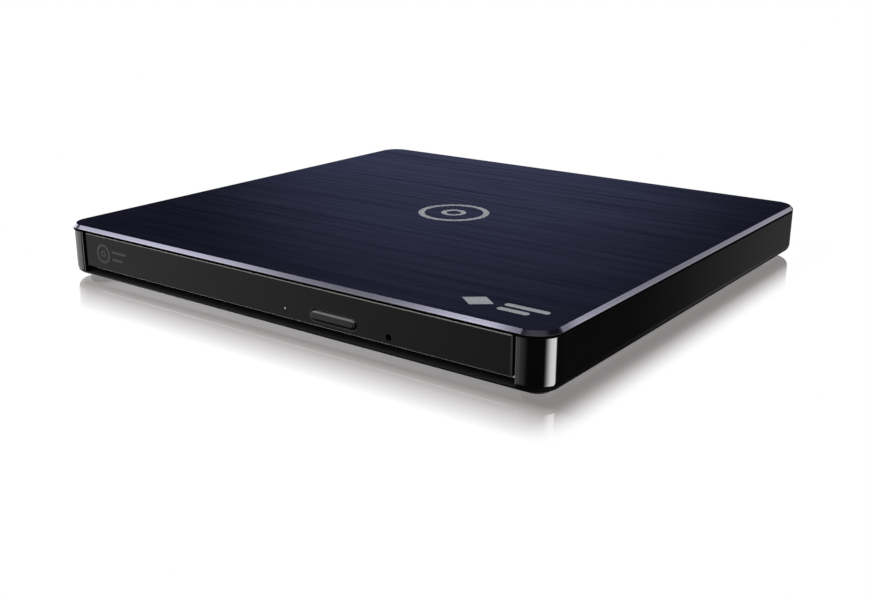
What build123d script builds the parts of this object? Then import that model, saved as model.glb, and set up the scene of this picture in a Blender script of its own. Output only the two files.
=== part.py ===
"""Slim external optical disc drive: a tray-loading mechanism inside a flat two-part case.

Millimetres. The origin is the middle of the footprint on the table, +Z is up and the tray opens along -Y.
"""

from build123d import *
import os
from math import cos, radians, sin

# ---- Driving dimensions of the case
case_width = 144.0
case_depth = 137.0
case_height = 14.0
corner_radius = 6.0
top_chamfer = 0.8
bottom_fillet = 2.2
wall = 1.6
floor_thickness = 1.0
plate_thickness = 0.9
web_thickness = 0.5
foot_height = 1.0
foot_size = (6.0, 14.0)
seam_gap = 0.06

# ---- Driving dimensions of the slim mechanism
drive_width = 128.0
drive_depth = 126.0
drive_height = 9.45
bezel_height = 8.6
bezel_thickness = 1.9
pan_sheet = 0.5
cover_sheet = 0.4
disc_radius = 60.0
disc_clearance = 0.75
hub_radius = 7.4
hub_y = -4.0
rod_radius = 0.8
screw_radius = 1.2
screw_pitch = 3.0
lens_distance = 26.0

# ---- Heights above the table
case_bottom = foot_height
floor_top = case_bottom + floor_thickness
seam_z = floor_top + 0.4
plate_bottom = case_height - plate_thickness
web_bottom = plate_bottom - web_thickness
drive_bottom = floor_top + 0.9
pan_top = drive_bottom + pan_sheet
drive_top = drive_bottom + drive_height
cover_bottom = drive_top - cover_sheet
bezel_bottom = drive_bottom + 0.9
tray_bottom = pan_top + 0.8
skin_bottom = tray_bottom + 3.1
recess_floor = skin_bottom + 1.0
disc_bottom = recess_floor + 0.6
tray_top = recess_floor + 2.6

# ---- Places from front to back, and half widths
case_front = -case_depth / 2
case_back = case_depth / 2
bezel_front = case_front + 0.4
bezel_back = bezel_front + bezel_thickness
drive_front = bezel_back + 0.2
drive_back = drive_front + drive_depth - 0.2
tray_back = drive_back - pan_sheet - 1.4
front_wall_back = bezel_back + 1.6
side_half = drive_width / 2
opening_half = side_half + 0.9
tray_half = 60.3
tray_wing = 62.9
tray_wall = 1.2
tray_inside = tray_half - tray_wall

# ---- The traverse lies on a diagonal through the spindle: u runs outwards along the pickup's travel and
# v runs across it, both measured from the spindle's axis
traverse_angle = 225.0
u_dir = Vector(cos(radians(traverse_angle)), sin(radians(traverse_angle)), 0)
v_dir = Vector(-sin(radians(traverse_angle)), cos(radians(traverse_angle)), 0)
traverse = Plane(origin=(0, hub_y, 0), x_dir=u_dir, z_dir=(0, 0, 1))
rod_z = 5.7
deck_bottom = rod_z + 1.3
deck_top = deck_bottom + 0.5
traverse_top = deck_top + 0.6


def block(x_range, y_range, z_range, mode=Mode.ADD):
    """A box given by its lowest and highest coordinates."""
    with BuildSketch(Plane.XY.offset(z_range[0]), mode=Mode.PRIVATE) as base:
        with Locations((sum(x_range) / 2, sum(y_range) / 2)):
            Rectangle(x_range[1] - x_range[0], y_range[1] - y_range[0])
    extrude(base.sketch, amount=z_range[1] - z_range[0], mode=mode)


def rounded_block(width, depth, radius, z_range, mode=Mode.ADD):
    """A box about the origin with rounded upright corners."""
    with BuildSketch(Plane.XY.offset(z_range[0]), mode=Mode.PRIVATE) as base:
        RectangleRounded(width, depth, radius)
    extrude(base.sketch, amount=z_range[1] - z_range[0], mode=mode)


def pillars(points, radius, z_range, plane=Plane.XY, mode=Mode.ADD):
    """Round upright posts at the points, between two heights."""
    with BuildSketch(plane.offset(z_range[0]), mode=Mode.PRIVATE) as base:
        with Locations(*points):
            Circle(radius)
    extrude(base.sketch, amount=z_range[1] - z_range[0], mode=mode)


def deck_block(u_range, v_range, z_range, corner=0.0, mode=Mode.ADD):
    """A box along the traverse's u and v, with rounded upright corners if asked."""
    with BuildSketch(traverse.offset(z_range[0]), mode=Mode.PRIVATE) as base:
        with Locations((sum(u_range) / 2, sum(v_range) / 2)):
            if corner:
                RectangleRounded(u_range[1] - u_range[0], v_range[1] - v_range[0], corner)
            else:
                Rectangle(u_range[1] - u_range[0], v_range[1] - v_range[0])
    extrude(base.sketch, amount=z_range[1] - z_range[0], mode=mode)


def rod_plane(u, v):
    """The plane across u, at the height of the rods: its x is v and its y is up."""
    return Plane(origin=traverse.from_local_coords((u, v, rod_z)), x_dir=v_dir, z_dir=u_dir)


def rod(u_range, v, radius, mode=Mode.ADD):
    """A round bar along u."""
    with BuildSketch(rod_plane(u_range[0], v), mode=Mode.PRIVATE) as base:
        Circle(radius)
    extrude(base.sketch, amount=u_range[1] - u_range[0], mode=mode)


def bar(centre, radius, y_range, mode=Mode.ADD):
    """A round bar along Y, centred on an (x, z) point."""
    with BuildSketch(Plane.XZ.offset(-y_range[1]), mode=Mode.PRIVATE) as base:
        with Locations(centre):
            Circle(radius)
    extrude(base.sketch, amount=y_range[1] - y_range[0], mode=mode)


def slot_bar(centre, length, height, y_range, mode=Mode.ADD):
    """A pill-shaped bar along Y, centred on an (x, z) point."""
    with BuildSketch(Plane.XZ.offset(-y_range[1]), mode=Mode.PRIVATE) as base:
        with Locations(centre):
            SlotOverall(length, height)
    extrude(base.sketch, amount=y_range[1] - y_range[0], mode=mode)


# ================================================================ the case

screw_points = [(x, y) for x in (-67.0, 67.0) for y in (-58.0, 58.0)]
foot_points = [(x, y) for x in (-66.2, 66.2) for y in (-58.0, 58.0)]
support_points = [(x, y) for x in (-50.0, 50.0) for y in (-42.0, 42.0)]
board_posts = [(-57.8, 63.6), (57.8, 63.6)]
pocket_depth = 0.5
screw_head_radius = 1.8
screw_head_height = 0.55
screw_shank = 0.79
usb_centre = (40.0, 6.6)


def case_blank():
    """The outside of the case below its top plate."""
    rounded_block(case_width, case_depth, corner_radius, (case_bottom, plate_bottom))
    fillet(faces().sort_by(Axis.Z)[0].edges(), bottom_fillet)


def case_inside(gap, z_range, mode):
    """The room inside the case's walls, shrunk by a gap."""
    inset = 2 * (wall + gap)
    rounded_block(case_width - inset, case_depth - inset, corner_radius - wall - gap, z_range, mode)


with BuildPart() as top_plate:
    rounded_block(case_width, case_depth, corner_radius, (plate_bottom, case_height))
    chamfer(top_plate.faces().sort_by(Axis.Z)[-1].edges(), top_chamfer)

boss_radius = 2.4
boss_foot = drive_bottom + seam_gap
with BuildPart() as upper_case:
    case_blank()
    split(bisect_by=Plane.XY.offset(seam_z + seam_gap), keep=Keep.TOP)
    case_inside(0, (seam_z, web_bottom), Mode.SUBTRACT)
    pillars(screw_points, boss_radius, (boss_foot, web_bottom))
    pillars(screw_points, screw_shank + 0.01, (boss_foot, boss_foot + 6.5), mode=Mode.SUBTRACT)
    # the mouth that the bezel fills, and the way to the socket at the back
    mouth_y = (case_front - 1, case_front + wall + 1)
    block((-opening_half, opening_half), mouth_y, (seam_z, web_bottom), mode=Mode.SUBTRACT)
    with BuildSketch(Plane.XZ.offset(-case_back)):
        with Locations(usb_centre):
            RectangleRounded(9.2, 5.4, 0.8)
    extrude(amount=wall + 1, mode=Mode.SUBTRACT)
    mouth_edges = upper_case.edges().filter_by(Axis.Z).group_by(Axis.Y)[0]
    fillet(mouth_edges, 0.35)

lip_gap = 0.1
lip_width = 0.8
lip_top = seam_z + 1.0
label_panel = (88.6, 46.6)
panel_depth = 0.2
with BuildPart() as base_cover:
    case_blank()
    split(bisect_by=Plane.XY.offset(seam_z), keep=Keep.BOTTOM)
    case_inside(0, (floor_top, seam_z), Mode.SUBTRACT)
    # the locating lip that stands inside the upper case's walls
    case_inside(lip_gap, (floor_top, lip_top), Mode.ADD)
    case_inside(lip_gap + lip_width, (floor_top, lip_top), Mode.SUBTRACT)
    # the front is cut down to a low edge under the bezel
    front_y = (case_front - 1, case_front + 4)
    block((-opening_half, opening_half), front_y, (floor_top, lip_top), mode=Mode.SUBTRACT)
    pillars(screw_points, boss_radius + 0.2, (floor_top, drive_bottom))
    pillars(support_points, 3.0, (floor_top, drive_bottom))
    pillars(board_posts, 1.6, (floor_top, floor_top + 1.6))
    pillars(board_posts, 0.75, (floor_top + 1.6, floor_top + 2.6))
    # pockets for the feet, the screws under them and the panel for a label
    with BuildSketch(Plane.XY.offset(case_bottom)):
        with Locations(*foot_points):
            SlotOverall(foot_size[1] + 0.2, foot_size[0] + 0.2, rotation=90)
    extrude(amount=pocket_depth, mode=Mode.SUBTRACT)
    head_top = case_bottom + pocket_depth + 0.05 + screw_head_height
    pillars(screw_points, screw_head_radius + 0.1, (case_bottom, head_top), mode=Mode.SUBTRACT)
    pillars(screw_points, 1.0, (case_bottom, drive_bottom), mode=Mode.SUBTRACT)
    rounded_block(*label_panel, 2.3, (case_bottom, case_bottom + panel_depth), mode=Mode.SUBTRACT)

with BuildPart() as rubber_feet:
    with BuildSketch():
        with Locations(*foot_points):
            SlotOverall(foot_size[1], foot_size[0], rotation=90)
    extrude(amount=foot_height + pocket_depth)
    fillet(rubber_feet.faces().filter_by(Axis.Z).group_by(Axis.Z)[0].edges(), 0.35)

with BuildPart() as case_screws:
    pillars(screw_points, screw_head_radius, (head_top - screw_head_height, head_top))
    pillars(screw_points, screw_shank, (head_top, head_top + 6))
    with BuildSketch(Plane.XY.offset(head_top - screw_head_height)):
        with Locations(*screw_points):
            Rectangle(2.0, 0.45)
            Rectangle(0.45, 2.0)
    extrude(amount=0.3, mode=Mode.SUBTRACT)

# ================================================================ the bridge board and its socket

board_bottom = floor_top + 1.6
board_top = board_bottom + 1.0
board_y = (drive_back + 0.8, case_back - wall - 0.3)
connector_x = (-56.0, -32.0)
chip_y = sum(board_y) / 2
with BuildPart() as bridge_board:
    block((-60, 60), board_y, (board_bottom, board_top))
    pillars(board_posts, 0.8, (board_bottom, board_top), mode=Mode.SUBTRACT)
    with BuildSketch(Plane.XY.offset(board_top)):
        with Locations((10, chip_y)):
            Rectangle(4.6, 4.6)
        with Locations((22, chip_y), (-6, chip_y)):
            Rectangle(4.9, 3.2)
    extrude(amount=1.0)

socket_size = (7.7, 4.0)
socket_y = (case_back - 7.7, case_back - 0.1)
shell_sheet = 0.3
with BuildPart() as usb_shell:
    with BuildSketch(Plane.XZ.offset(-socket_y[1])) as socket_outline:
        with Locations(usb_centre):
            Rectangle(*socket_size)
        chamfer(socket_outline.vertices().group_by(Axis.Y)[0], 0.9)
    extrude(amount=socket_y[1] - socket_y[0])
    offset(amount=-shell_sheet, openings=usb_shell.faces().sort_by(Axis.Y)[-1])

insulator_y = (socket_y[0] + shell_sheet, socket_y[0] + shell_sheet + 2.2)
tongue_z = (usb_centre[1] - 0.25, usb_centre[1] + 0.65)
contact_pitch = 0.8
with BuildPart() as usb_insulator:
    block((usb_centre[0] - 2.5, usb_centre[0] + 2.5), insulator_y, (usb_centre[1] - 1.6, usb_centre[1] + 1.6))
    block((usb_centre[0] - 2.5, usb_centre[0] + 2.5), (insulator_y[1], socket_y[1] - 1), tongue_z)

with BuildPart() as usb_contacts:
    with BuildSketch(Plane.XY.offset(tongue_z[0] - 0.1)):
        with Locations(*[(usb_centre[0] + contact_pitch * n, insulator_y[1] + 2.0) for n in range(-2, 3)]):
            Rectangle(0.4, 3.6)
    extrude(amount=0.1)

# ================================================================ the mechanism's fixed frame

post_point = (45.5, -51.0)
post_top = pan_top + 1.4
with BuildPart() as chassis_pan:
    block((-side_half, side_half), (drive_front, drive_back), (drive_bottom, cover_bottom - 0.05))
    pan_half = side_half - pan_sheet
    pan_y = (drive_front - 1, drive_back - pan_sheet)
    block((-pan_half, pan_half), pan_y, (pan_top, cover_bottom), mode=Mode.SUBTRACT)
    # the post that the tray's latch catches
    pillars([post_point], 1.0, (drive_bottom, post_top))
    # way out for the connector, and stiffening slots through the floor
    gate_x = (connector_x[0] - 1, connector_x[1] + 1)
    block(gate_x, (drive_back - 1, drive_back + 1), (4.5, 9.6), mode=Mode.SUBTRACT)
    with BuildSketch(Plane.XY.offset(drive_bottom)):
        with Locations(*[(x, y) for x in (-22, 0, 22) for y in (-30, 26)]):
            SlotOverall(14, 5, rotation=90)
    extrude(amount=pan_sheet, mode=Mode.SUBTRACT)

flange_bottom = 9.0
with BuildPart() as drive_cover:
    slip = 0.05
    cover_half = side_half + slip + cover_sheet
    cover_y = (drive_front, drive_back + slip + cover_sheet)
    block((-cover_half, cover_half), cover_y, (flange_bottom, drive_top))
    under_y = (drive_front - 1, drive_back + slip)
    under_half = side_half + slip
    block((-under_half, under_half), under_y, (flange_bottom - 1, cover_bottom), mode=Mode.SUBTRACT)
    gate_x = (connector_x[0] - 2, connector_x[1] + 2)
    block(gate_x, (drive_back - 1, drive_back + 2), (flange_bottom - 1, 9.7), mode=Mode.SUBTRACT)

with BuildPart() as cover_screws:
    pillars([(x, y) for x in (-61.5, 61.5) for y in (-10.0, 50.0)], 1.4, (drive_top, drive_top + 0.2))

cable_x = (-57.6, -45.4)
cable_thickness = 0.12
cable_bottom = pan_top + 0.08
with BuildPart() as drive_connector:
    block(connector_x, (drive_back - 1.6, drive_back + 1.8), (4.7, 9.4))
    mouth_x = (connector_x[0] + 2, connector_x[1] - 2)
    block(mouth_x, (drive_back + 0.2, drive_back + 3), (6.2, 7.8), mode=Mode.SUBTRACT)
    # the foot that the flat cable is soldered under
    foot_z = (cable_bottom + cable_thickness, 4.7)
    block((connector_x[0], cable_x[1]), (drive_back - 1.6, drive_back - 0.7), foot_z)
with BuildPart() as bridge_connector:
    block(connector_x, (drive_back + 1.9, board_y[1] - 0.4), (board_top, 9.4))
    plug_x = (connector_x[0] + 2.3, connector_x[1] - 2.3)
    block(plug_x, (drive_back + 0.4, drive_back + 2), (6.5, 7.5))

# ---- telescoping rails: a moulded channel on the pan, a steel C-rail in it and the tray's rib in that
guide_y = (drive_front + 1.5, drive_back - 1.3)
rail_y = (drive_front + 2.0, drive_back - 6.0)
guide_z = (5.0, 9.6)
guide_inner = 61.7
channel_z = (5.6, 9.0)
channel_outer = pan_half - 0.7
rail_slip = 0.15
rail_sheet = 0.4
rail_inner = 60.9
rail_outer = channel_outer - 0.25


def side_range(side, near, far):
    """An x range on the right (side 1) or the left (side -1), given by distances from the middle."""
    return sorted((side * near, side * far))


def rail_guide(side):
    with BuildPart() as guide:
        block(side_range(side, guide_inner, pan_half), guide_y, guide_z)
        past = (guide_y[0] - 1, guide_y[1] + 1)
        block(side_range(side, guide_inner - 1, channel_outer), past, channel_z, mode=Mode.SUBTRACT)
    return guide


def rail(side):
    rail_z = (channel_z[0] + rail_slip, channel_z[1] - rail_slip)
    with BuildPart() as steel:
        block(side_range(side, rail_inner, rail_outer), rail_y, rail_z)
        past = (rail_y[0] - 1, rail_y[1] + 1)
        inner_z = (rail_z[0] + rail_sheet, rail_z[1] - rail_sheet)
        block(side_range(side, rail_inner - 1, rail_outer - rail_sheet), past, inner_z, mode=Mode.SUBTRACT)
    return steel


rail_guide_left = rail_guide(-1)
rail_guide_right = rail_guide(1)
rail_left = rail(-1)
rail_right = rail(1)

# ================================================================ the tray

eject_hole = (34.0, bezel_bottom + 1.65)
eject_hole_radius = 0.75
button_centre = (18.8, bezel_bottom + 2.4)
button_size = (12.3, 1.9)
button_gap = 0.38
bezel_bevel = 0.3
led_point = (5.0, bezel_bottom + 2.25)
led_radius = 0.6
clip_x = 50.0
clip_z = (8.9, 9.9)
rib_z = (6.35, 8.25)
rib_end = rail_outer - rail_sheet - 0.2
underside_points = [(-38.0, 18.0), (52.6, 40.0), (52.6, -14.0), (30.0, -50.0)]
damper_points = [(-10.0, -23.5), (50.0, -23.5), (20.0, 29.0)]
damper_bottom = 4.7
cable_slot_x = (-59.5, -44.4)
post_slot_x = (post_point[0] - 1.9, post_point[0] + 1.9)
slot_top = 5.1
lever_pivot = (50.0, -61.0)
ejector_centre = (56.4, 5.9)
ejector_radius = 0.9
ejector_start = 12.0
ejector_rib_y = (29.0, 30.5)
collar_y = (40.5, 41.3)
main_board_bottom = 5.05
main_board_top = main_board_bottom + 0.6
main_board_pegs = [(-30.0, 50.0), (46.0, 50.0), (46.0, -32.0)]
front_board_bottom = 4.4
front_board_top = front_board_bottom + 0.6
front_board_pegs = [(4.5, -58.6), (26.5, -58.6)]
deck_u = (-17.0, 66.0)
deck_v = (-19.5, 25.0)
deck_corner = 5.0
window_gap = 0.6


def traverse_shape(grow, z_range, mode=Mode.ADD):
    """The traverse's outline, grown by a gap and kept inside the tray's corner walls."""
    with BuildSketch(traverse.offset(z_range[0]), mode=Mode.PRIVATE) as outline:
        with Locations((sum(deck_u) / 2, sum(deck_v) / 2)):
            length = deck_u[1] - deck_u[0] + 2 * grow
            width = deck_v[1] - deck_v[0] + 2 * grow
            RectangleRounded(length, width, deck_corner + grow)
    inside = tray_inside - 1.2 + grow
    front = front_wall_back + 1.4 - grow
    with BuildSketch(Plane.XY.offset(z_range[0]), mode=Mode.PRIVATE) as room:
        with Locations((0, (front + tray_back) / 2)):
            Rectangle(2 * inside, tray_back - front)
    extrude(outline.sketch & room.sketch, amount=z_range[1] - z_range[0], mode=mode)


with BuildPart() as tray:
    block((-tray_half, tray_half), (bezel_back, tray_back), (tray_bottom, tray_top))
    block((-tray_wing, tray_wing), (bezel_back, tray_back), (guide_z[1] + 0.1, tray_top))
    for side in (-1, 1):
        block(side_range(side, tray_half - 0.5, rib_end), (rail_y[0], tray_back - 0.4), rib_z)
    hollow_y = (front_wall_back, tray_back - 1.4)
    block((-tray_inside, tray_inside), hollow_y, (tray_bottom, skin_bottom), mode=Mode.SUBTRACT)
    # recess for the disc, with finger notches at its corners
    with BuildSketch(Plane.XY.offset(recess_floor)):
        with Locations((0, hub_y)):
            Circle(disc_radius + disc_clearance)
        with Locations((-40, -50), (40, -50), (-42, 43), (42, 43)):
            Circle(11)
    extrude(amount=tray_top - recess_floor, mode=Mode.SUBTRACT)
    # window for the traverse: through the floor, with a pocket under the front corner
    traverse_shape(window_gap, (tray_bottom, recess_floor + 0.6), mode=Mode.SUBTRACT)
    # posts for the underside's screws, the dampers, the boards and the latch's pivot
    pillars(underside_points, 1.7, (tray_bottom, skin_bottom + 0.2))
    pillars(underside_points, 0.6, (tray_bottom, skin_bottom - 0.5), mode=Mode.SUBTRACT)
    pillars(damper_points, 1.2, (damper_bottom, skin_bottom + 0.2), traverse)
    pillars(damper_points, 0.6, (damper_bottom, skin_bottom - 0.5), traverse, mode=Mode.SUBTRACT)
    pillars(main_board_pegs, 1.2, (main_board_top, skin_bottom + 0.2))
    pillars(front_board_pegs, 1.2, (front_board_top, skin_bottom + 0.2))
    pillars([lever_pivot], 0.8, (tray_bottom, skin_bottom + 0.2))
    # rib that the ejector's spring stands on
    rib_x = (ejector_centre[0] - 1.8, tray_inside + 0.2)
    block(rib_x, ejector_rib_y, (tray_bottom, skin_bottom + 0.2))
    bar(ejector_centre, ejector_radius + 0.1, ejector_rib_y, mode=Mode.SUBTRACT)
    # ways through the front wall for the button, light pipe, emergency pin and bezel clips
    wall_y = (bezel_back, front_wall_back)
    block((11.0, 26.6), wall_y, (tray_bottom, 8.2), mode=Mode.SUBTRACT)
    bar(led_point, led_radius + 0.2, wall_y, mode=Mode.SUBTRACT)
    bar(eject_hole, eject_hole_radius + 0.25, wall_y, mode=Mode.SUBTRACT)
    for side in (-1, 1):
        clip_room_z = (clip_z[0] - 0.2, clip_z[1] + 0.2)
        clip_room_x = side_range(side, clip_x - 3.3, clip_x + 3.3)
        block(clip_room_x, (bezel_back, bezel_back + 2.8), clip_room_z, mode=Mode.SUBTRACT)
    # notches in the back wall for the latch's post, the flat cable and the ejector
    back_y = (tray_back - 2, tray_back)
    block(post_slot_x, back_y, (tray_bottom, slot_top), mode=Mode.SUBTRACT)
    block(cable_slot_x, back_y, (tray_bottom, slot_top), mode=Mode.SUBTRACT)
    bar(ejector_centre, ejector_radius + 0.1, back_y, mode=Mode.SUBTRACT)

with BuildPart() as bezel:
    bezel_y = (bezel_front, bezel_back)
    block((-side_half, side_half), bezel_y, (bezel_bottom, bezel_bottom + bezel_height))
    hole_size = (button_size[0] + 2 * button_gap, button_size[1] + 2 * button_gap)
    slot_bar(button_centre, *hole_size, bezel_y, mode=Mode.SUBTRACT)
    chamfer(bezel.faces().sort_by(Axis.Y)[0].edges(), bezel_bevel)
    for side in (-1, 1):
        block(side_range(side, clip_x - 3.0, clip_x + 3.0), (bezel_back, bezel_back + 2.4), clip_z)
    bar(led_point, led_radius, bezel_y, mode=Mode.SUBTRACT)
    bar(eject_hole, eject_hole_radius, bezel_y, mode=Mode.SUBTRACT)

with BuildPart() as eject_button:
    # the button stands out of the bezel, level with the case's front
    slot_bar(button_centre, *button_size, (case_front, bezel_back + 0.3))
    fillet(eject_button.faces().sort_by(Axis.Y)[0].edges(), 0.45)
    # the flange that stops it behind the bezel, and the stem that meets the switch
    flange_y = (bezel_back + 0.05, bezel_back + 0.55)
    slot_bar(button_centre, button_size[0] + 2.2, button_size[1] + 1.4, flange_y)
    stem_x = (button_centre[0] - 1.2, button_centre[0] + 1.2)
    stem_z = (button_centre[1] - 0.6, button_centre[1] + 0.6)
    block(stem_x, (bezel_back + 0.3, bezel_back + 2.2), stem_z)

with BuildPart() as light_pipe:
    bar(led_point, led_radius - 0.05, (bezel_front - 0.03, bezel_back + 2.6))
    fillet(light_pipe.faces().sort_by(Axis.Y)[0].edges(), 0.2)

# ---- front board with the button's switch and the lamp
with BuildPart() as front_board:
    block((2, 29), (bezel_back + 2.7, bezel_back + 9.5), (front_board_bottom, front_board_top))
with BuildPart() as eject_switch:
    switch_front = bezel_back + 4.0
    block((15.6, 20.8), (switch_front, switch_front + 2.2), (front_board_top, front_board_top + 1.9))
    switch_z = (button_centre[1] - 0.35, button_centre[1] + 0.35)
    block((17.3, 19.1), (switch_front - 0.9, switch_front), switch_z)
with BuildPart() as status_led:
    lamp_y = (bezel_back + 2.9, bezel_back + 3.8)
    block((led_point[0] - 0.8, led_point[0] + 0.8), lamp_y, (front_board_top, front_board_top + 0.7))

# ---- latch, drawn released: it swings to catch the post on the pan
lever_z = (tray_bottom + 0.05, 5.0)
arm_half = 0.8
arm_length = 17.8
finger_near = 11.7
finger_far = 13.2
hub_top = 6.9
plunger_offset = 10.0
with BuildPart() as latch_lever:
    with BuildSketch(Plane.XY.offset(lever_z[0])):
        with Locations(lever_pivot):
            Circle(2.0)
            # arm along the bezel to behind the emergency hole
            with Locations((-arm_length / 2, 0)):
                Rectangle(arm_length, 2 * arm_half)
            # arm towards the post, with its finger
            with Locations((0, finger_far / 2)):
                Rectangle(1.8, finger_far)
            with Locations((-1.1, (finger_near + finger_far) / 2)):
                Rectangle(4.0, finger_far - finger_near)
    extrude(amount=lever_z[1] - lever_z[0])
    # hub and the lug that the solenoid pushes
    pillars([lever_pivot], 1.8, (lever_z[1], hub_top))
    lug_x = (lever_pivot[0] - plunger_offset - 0.8, lever_pivot[0] - plunger_offset + 0.8)
    block(lug_x, (lever_pivot[1] - arm_half, lever_pivot[1] + arm_half), (lever_z[1], hub_top))
    pillars([lever_pivot], 0.86, (lever_z[0], hub_top), mode=Mode.SUBTRACT)

plunger_centre = (lever_pivot[0] - plunger_offset, 6.0)
plunger_front = lever_pivot[1] + arm_half + 0.2
plunger_radius = 0.68
solenoid_y = (plunger_front + 1.6, plunger_front + 9.0)
with BuildPart() as solenoid_body:
    block((plunger_centre[0] - 4.5, plunger_centre[0] + 4.5), solenoid_y, (slot_top - 0.05, skin_bottom))
    bar(plunger_centre, plunger_radius + 0.06, (solenoid_y[0], solenoid_y[0] + 5.5), mode=Mode.SUBTRACT)
with BuildPart() as solenoid_plunger:
    bar(plunger_centre, plunger_radius, (plunger_front, plunger_front + 5.0))

# ---- ejector: a sprung rod at the back that starts the tray on its way
with BuildPart() as ejector_rod:
    bar(ejector_centre, ejector_radius, (ejector_start, tray_back + 1.25))
    bar(ejector_centre, ejector_radius + 0.4, collar_y)

spring_wire = 0.16
spring_radius = 1.12
spring_turns = 9
with BuildPart() as ejector_spring:
    spring_y = (ejector_rib_y[1] + 0.17, collar_y[0] - 0.17)
    spring_length = spring_y[1] - spring_y[0]
    with BuildLine() as coil:
        Helix(
            pitch=spring_length / spring_turns,
            height=spring_length,
            radius=spring_radius,
            center=(ejector_centre[0], spring_y[0], ejector_centre[1]),
            direction=(0, 1, 0),
        )
    with BuildSketch(Plane(origin=coil.line @ 0, z_dir=coil.line % 0)):
        Circle(spring_wire)
    sweep(is_frenet=True)

# ---- main board
with BuildPart() as main_board:
    with BuildSketch(Plane.XY.offset(main_board_bottom)):
        with BuildLine():
            Polyline(
                (-43, 55.5),
                (50.5, 55.5),
                (50.5, -38),
                (33, -38),
                (33, -9),
                (2, 24),
                (-43, 24),
                close=True,
            )
        make_face()
    extrude(amount=main_board_top - main_board_bottom)
    # its chips and cable sockets
    with BuildSketch(Plane.XY.offset(main_board_top)):
        with Locations((36, 12)):
            Rectangle(13, 13)
        with Locations((30, 38)):
            Rectangle(10, 10)
        with Locations((10, 40), (42, -18)):
            Rectangle(8, 6)
        with Locations((20, 18)):
            Rectangle(16, 3.6, rotation=-45)
    extrude(amount=1.0)

# ---- flat cable from the tray to the fixed connector, folded in a U under the tray's left side
cable_top = main_board_top + cable_thickness
cable_front = -12.0
cable_end = 50.0
with BuildPart() as flat_cable:
    bend = (cable_top - cable_bottom) / 2
    cable_back = drive_back - 0.9
    with BuildSketch(Plane.YZ.offset(cable_x[0])):
        with BuildLine():
            Line((cable_back, cable_bottom), (cable_front, cable_bottom))
            ThreePointArc(
                (cable_front, cable_bottom),
                (cable_front - bend, cable_bottom + bend),
                (cable_front, cable_top),
            )
            Line((cable_front, cable_top), (cable_end, cable_top))
            Line((cable_end, cable_top), (cable_end, cable_top - cable_thickness))
            Line((cable_end, cable_top - cable_thickness), (cable_front, cable_top - cable_thickness))
            ThreePointArc(
                (cable_front, cable_top - cable_thickness),
                (cable_front - bend + cable_thickness, cable_bottom + bend),
                (cable_front, cable_bottom + cable_thickness),
            )
            Line((cable_front, cable_bottom + cable_thickness), (cable_back, cable_bottom + cable_thickness))
            Line((cable_back, cable_bottom + cable_thickness), (cable_back, cable_bottom))
        make_face()
    extrude(amount=cable_x[1] - cable_x[0])
    # the end that is soldered on the main board
    block((cable_x[1] - 0.1, -38.5), (cable_end - 10, cable_end), (main_board_top, cable_top))

# ---- underside cover
underside_bottom = tray_bottom - 0.4
with BuildPart() as tray_underside:
    plate_y = (front_wall_back + 0.05, tray_back - 0.3)
    plate_half = tray_inside - 0.2
    plate_z = (underside_bottom, tray_bottom)
    block((-plate_half, plate_half), plate_y, plate_z)
    block(post_slot_x, (post_point[1] - 2.2, tray_back), plate_z, mode=Mode.SUBTRACT)
    block(cable_slot_x, (cable_front - 3.5, tray_back), plate_z, mode=Mode.SUBTRACT)
    # clearance for the emergency pin
    pin_x = (eject_hole[0] - 1.2, eject_hole[0] + 1.2)
    block(pin_x, (plate_y[0], plate_y[0] + 2.0), plate_z, mode=Mode.SUBTRACT)
    pillars(underside_points, 0.7, plate_z, mode=Mode.SUBTRACT)
    with BuildSketch(Plane.XY.offset(underside_bottom)):
        with Locations((-24, 8), (-8, 8), (12, 40), (28, 40)):
            SlotOverall(12, 4, rotation=90)
    extrude(amount=tray_bottom - underside_bottom, mode=Mode.SUBTRACT)

with BuildPart() as underside_screws:
    pillars(underside_points, 1.3, (underside_bottom - 0.25, underside_bottom))
    pillars(underside_points, 0.58, (underside_bottom, underside_bottom + 2.6))

# ================================================================ the traverse

rod_v = 15.0
rod_u = (14.0, 63.5)
well_u = (10.0, 64.0)
well_v = (-16.6, 13.0)
ear_z = (5.5, 6.1)
clip_bottom = 4.5
grommet_top = skin_bottom - 0.15
screw_v = 20.0
thread_start = 17.0
thread_turns = 14
thread_end = thread_start + thread_turns * screw_pitch
journal_radius = 0.7
journal_fit = 0.04
with BuildPart() as traverse_deck:
    traverse_shape(0, (ear_z[0], deck_top))
    traverse_shape(-1.0, (ear_z[0], deck_bottom), mode=Mode.SUBTRACT)
    # ears out to the dampers
    for u, v in damper_points:
        inner_v = deck_v[1] - 0.5 if v > 0 else deck_v[0] + 0.5
        deck_block((u - 2.2, u + 2.2), sorted((v, inner_v)), ear_z)
    pillars(damper_points, 3.9, ear_z, traverse)
    pillars(damper_points, 2.35, ear_z, traverse, mode=Mode.SUBTRACT)
    # wells for the rotor and the pickup
    pillars([(0, 0)], 13.3, (deck_bottom, deck_top), traverse, mode=Mode.SUBTRACT)
    deck_block(well_u, well_v, (deck_bottom, deck_top), mode=Mode.SUBTRACT)
    # tab that carries the lead screw's far end
    deck_block((thread_end + 0.3, thread_end + 1.5), (screw_v - 1.8, screw_v + 1.8), (4.4, deck_bottom))
    rod((thread_end, thread_end + 2), screw_v, journal_radius + journal_fit, mode=Mode.SUBTRACT)

with BuildPart() as traverse_cover:
    traverse_shape(0, (deck_top + 0.1, traverse_top))
    pillars([(0, 0)], 14.7, (deck_top, traverse_top), traverse, mode=Mode.SUBTRACT)
    deck_block(well_u, well_v, (deck_top, traverse_top), mode=Mode.SUBTRACT)

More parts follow.
